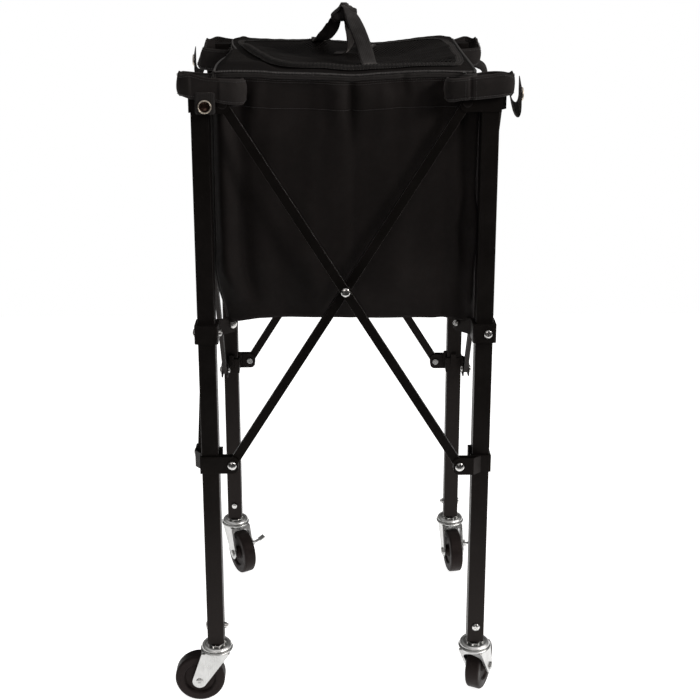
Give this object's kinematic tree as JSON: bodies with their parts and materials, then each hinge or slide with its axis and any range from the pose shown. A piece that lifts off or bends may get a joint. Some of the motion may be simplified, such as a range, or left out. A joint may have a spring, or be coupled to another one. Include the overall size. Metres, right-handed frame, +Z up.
{
  "type": "folding ball cart",
  "caption": "Black folding ball cart: a fabric hopper with a zipped mesh lid hangs in a collapsible frame of square legs and crossed bars on swivel casters",
  "frame": {"origin": "on the floor under the middle of the four legs", "axes": "+X to the right, +Y to the back, +Z up"},
  "size_m": [0.5092, 0.4716, 1.048],
  "materials": {
    "frame_paint": "satin black powder coat",
    "bright_steel": "plated, bright",
    "chrome_race": "polished plate",
    "zinc_sheet": "zinc plated sheet",
    "wheel_rubber": "moulded, matt",
    "hopper_cloth": "coated woven polyester",
    "mesh_cloth": "open knit mesh",
    "webbing": "woven webbing",
    "zip_metal": "plated zip slider"
  },
  "bodies": {
    "leg_fl": {"leg_fl": "frame_paint", "collars_fl": "frame_paint", "fasteners_fl": "bright_steel", "caster_stem_fl": "chrome_race", "corner_loop_fl": "hopper_cloth", "bag_front": "hopper_cloth", "bag_left": "hopper_cloth"},
    "slider_fl": {"slider_fl": "frame_paint", "slider_pins_fl": "bright_steel"},
    "caster_fl": {"caster_fork_fl": "zinc_sheet"},
    "wheel_fl": {"wheel_fl": "wheel_rubber"},
    "leg_fr": {"leg_fr": "frame_paint", "collars_fr": "frame_paint", "fasteners_fr": "bright_steel", "caster_stem_fr": "chrome_race", "corner_loop_fr": "hopper_cloth", "bag_right": "hopper_cloth"},
    "slider_fr": {"slider_fr": "frame_paint", "slider_pins_fr": "bright_steel"},
    "caster_fr": {"caster_fork_fr": "zinc_sheet"},
    "wheel_fr": {"wheel_fr": "wheel_rubber"},
    "leg_rr": {"leg_rr": "frame_paint", "collars_rr": "frame_paint", "fasteners_rr": "bright_steel", "caster_stem_rr": "chrome_race", "corner_loop_rr": "hopper_cloth"},
    "slider_rr": {"slider_rr": "frame_paint", "slider_pins_rr": "bright_steel"},
    "caster_rr": {"caster_fork_rr": "zinc_sheet"},
    "wheel_rr": {"wheel_rr": "wheel_rubber"},
    "leg_rl": {"leg_rl": "frame_paint", "collars_rl": "frame_paint", "fasteners_rl": "bright_steel", "caster_stem_rl": "chrome_race", "corner_loop_rl": "hopper_cloth", "bag_back": "hopper_cloth"},
    "slider_rl": {"slider_rl": "frame_paint", "slider_pins_rl": "bright_steel"},
    "caster_rl": {"caster_fork_rl": "zinc_sheet"},
    "wheel_rl": {"wheel_rl": "wheel_rubber"},
    "bar_front_outer": {"bar_front_outer": "frame_paint", "rivet_front": "bright_steel"},
    "bar_front_inner": {"bar_front_inner": "frame_paint"},
    "bar_right_outer": {"bar_right_outer": "frame_paint", "rivet_right": "bright_steel"},
    "bar_right_inner": {"bar_right_inner": "frame_paint"},
    "bar_back_outer": {"bar_back_outer": "frame_paint", "rivet_back": "bright_steel"},
    "bar_back_inner": {"bar_back_inner": "frame_paint"},
    "bar_left_outer": {"bar_left_outer": "frame_paint", "rivet_left": "bright_steel"},
    "bar_left_inner": {"bar_left_inner": "frame_paint"},
    "pedal_rr": {"brake_pedal_rr": "zinc_sheet"},
    "pedal_rl": {"brake_pedal_rl": "zinc_sheet"},
    "bag_floor": {"bag_floor": "hopper_cloth"},
    "lid_hem": {"lid_hem": "webbing"},
    "lid": {"lid": "mesh_cloth", "carry_handles": "webbing"},
    "zip_pull": {"zip_pull": "zip_metal"}
  },
  "joints": [
    {"name": "frame_fold", "type": "hinge", "parent": "leg_fl", "child": "bar_front_outer", "pos_m": [-0.166, -0.2166, 0.93], "axis": [0, 1, 0], "range_deg": [0, 23], "deforming": ["bag_front", "bag_back", "bag_left", "bag_right", "bag_floor", "lid", "lid_hem", "carry_handles"]},
    {"name": "front_cross", "type": "hinge", "parent": "bar_front_outer", "child": "bar_front_inner", "pos_m": [0, -0.2118, 0.663], "axis": [0, 1, 0], "range_deg": [-46.02, 0]},
    {"name": "fr_top_pivot", "type": "hinge", "parent": "bar_front_inner", "child": "leg_fr", "pos_m": [0.166, -0.207, 0.93], "axis": [0, 1, 0], "range_deg": [0, 23.02]},
    {"name": "fr_slider_pivot", "type": "hinge", "parent": "bar_front_outer", "child": "slider_fr", "pos_m": [0.166, -0.2166, 0.396], "axis": [0, 1, 0], "range_deg": [-23.02, 0]},
    {"name": "fl_slider_pivot", "type": "hinge", "parent": "bar_front_inner", "child": "slider_fl", "pos_m": [-0.166, -0.207, 0.396], "axis": [0, 1, 0], "range_deg": [0, 23.02]},
    {"name": "fl_left_pivot", "type": "hinge", "parent": "leg_fl", "child": "bar_left_inner", "pos_m": [-0.207, -0.166, 0.93], "axis": [-1, 0, 0], "range_deg": [0, 23.02]},
    {"name": "left_cross", "type": "hinge", "parent": "bar_left_inner", "child": "bar_left_outer", "pos_m": [-0.2118, 0, 0.663], "axis": [-1, 0, 0], "range_deg": [-46.02, 0]},
    {"name": "rl_top_pivot", "type": "hinge", "parent": "bar_left_outer", "child": "leg_rl", "pos_m": [-0.2166, 0.166, 0.93], "axis": [-1, 0, 0], "range_deg": [0, 23.02]},
    {"name": "rl_slider_pivot", "type": "hinge", "parent": "bar_left_inner", "child": "slider_rl", "pos_m": [-0.207, 0.166, 0.396], "axis": [-1, 0, 0], "range_deg": [-23.02, 0]},
    {"name": "fr_right_pivot", "type": "hinge", "parent": "leg_fr", "child": "bar_right_outer", "pos_m": [0.2166, -0.166, 0.93], "axis": [-1, 0, 0], "range_deg": [0, 23.02]},
    {"name": "right_cross", "type": "hinge", "parent": "bar_right_outer", "child": "bar_right_inner", "pos_m": [0.2118, 0, 0.663], "axis": [-1, 0, 0], "range_deg": [-46.02, 0]},
    {"name": "rr_top_pivot", "type": "hinge", "parent": "bar_right_inner", "child": "leg_rr", "pos_m": [0.207, 0.166, 0.93], "axis": [-1, 0, 0], "range_deg": [0, 23.02]},
    {"name": "rr_slider_pivot", "type": "hinge", "parent": "bar_right_outer", "child": "slider_rr", "pos_m": [0.2166, 0.166, 0.396], "axis": [-1, 0, 0], "range_deg": [-23.02, 0]},
    {"name": "rl_back_pivot", "type": "hinge", "parent": "leg_rl", "child": "bar_back_inner", "pos_m": [-0.166, 0.207, 0.93], "axis": [0, 1, 0], "range_deg": [0, 23.02]},
    {"name": "back_cross", "type": "hinge", "parent": "bar_back_inner", "child": "bar_back_outer", "pos_m": [0, 0.2118, 0.663], "axis": [0, 1, 0], "range_deg": [-46.02, 0]},
    {"name": "floor_turn", "type": "hinge", "parent": "leg_fl", "child": "bag_floor", "pos_m": [0, -0.1798, 0.613], "axis": [1, 0, 0], "range_deg": [0, 75.92]},
    {"name": "lid_droop", "type": "hinge", "parent": "leg_rl", "child": "lid_hem", "pos_m": [0, 0.1795, 0.962], "axis": [1, 0, 0], "range_deg": [0, 75.92]},
    {"name": "lid_open", "type": "hinge", "parent": "lid_hem", "child": "lid", "pos_m": [0, 0.1705, 0.9625], "axis": [1, 0, 0], "range_deg": [-110, 0]},
    {"name": "swivel_fl", "type": "hinge", "parent": "leg_fl", "child": "caster_fl", "pos_m": [-0.198, -0.198, 0.086], "axis": [0, 0, 1], "continuous": true},
    {"name": "roll_fl", "type": "hinge", "parent": "caster_fl", "child": "wheel_fl", "pos_m": [-0.224, -0.198, 0.038], "axis": [0, 1, 0], "continuous": true},
    {"name": "swivel_fr", "type": "hinge", "parent": "leg_fr", "child": "caster_fr", "pos_m": [0.198, -0.198, 0.086], "axis": [0, 0, 1], "continuous": true},
    {"name": "roll_fr", "type": "hinge", "parent": "caster_fr", "child": "wheel_fr", "pos_m": [0.20899, -0.17444, 0.038], "axis": [0.9063, -0.4226, 0], "continuous": true},
    {"name": "swivel_rr", "type": "hinge", "parent": "leg_rr", "child": "caster_rr", "pos_m": [0.198, 0.198, 0.086], "axis": [0, 0, 1], "continuous": true},
    {"name": "roll_rr", "type": "hinge", "parent": "caster_rr", "child": "wheel_rr", "pos_m": [0.20162, 0.17225, 0.038], "axis": [-0.9903, -0.1392, 0], "continuous": true},
    {"name": "brake_rr", "type": "hinge", "parent": "caster_rr", "child": "pedal_rr", "pos_m": [0.22291, 0.17525, 0.05], "axis": [-0.1392, 0.9903, 0], "range_deg": [0, 25]},
    {"name": "swivel_rl", "type": "hinge", "parent": "leg_rl", "child": "caster_rl", "pos_m": [-0.198, 0.198, 0.086], "axis": [0, 0, 1], "continuous": true},
    {"name": "roll_rl", "type": "hinge", "parent": "caster_rl", "child": "wheel_rl", "pos_m": [-0.1854, 0.17526, 0.038], "axis": [-0.8746, -0.4848, 0], "continuous": true},
    {"name": "brake_rl", "type": "hinge", "parent": "caster_rl", "child": "pedal_rl", "pos_m": [-0.16659, 0.18568, 0.05], "axis": [-0.4848, 0.8746, 0], "range_deg": [0, 25]},
    {"name": "zip_slide", "type": "slide", "parent": "leg_fr", "child": "zip_pull", "axis": [1, 0, 0], "range_m": [-0.32, 0]}
  ],
  "couplings": [
    {"joint": "front_cross", "follows": "frame_fold", "ratio": -2},
    {"joint": "fr_top_pivot", "follows": "frame_fold", "ratio": 1},
    {"joint": "fr_slider_pivot", "follows": "frame_fold", "ratio": -1},
    {"joint": "fl_slider_pivot", "follows": "frame_fold", "ratio": 1},
    {"joint": "fl_left_pivot", "follows": "frame_fold", "ratio": 1},
    {"joint": "left_cross", "follows": "frame_fold", "ratio": -2},
    {"joint": "rl_top_pivot", "follows": "frame_fold", "ratio": 1},
    {"joint": "rl_slider_pivot", "follows": "frame_fold", "ratio": -1},
    {"joint": "fr_right_pivot", "follows": "frame_fold", "ratio": 1},
    {"joint": "right_cross", "follows": "frame_fold", "ratio": -2},
    {"joint": "rr_top_pivot", "follows": "frame_fold", "ratio": 1},
    {"joint": "rr_slider_pivot", "follows": "frame_fold", "ratio": -1},
    {"joint": "rl_back_pivot", "follows": "frame_fold", "ratio": 1},
    {"joint": "back_cross", "follows": "frame_fold", "ratio": -2},
    {"joint": "floor_turn", "follows": "frame_fold", "ratio": 3.3},
    {"joint": "lid_droop", "follows": "frame_fold", "ratio": 3.3}
  ]
}
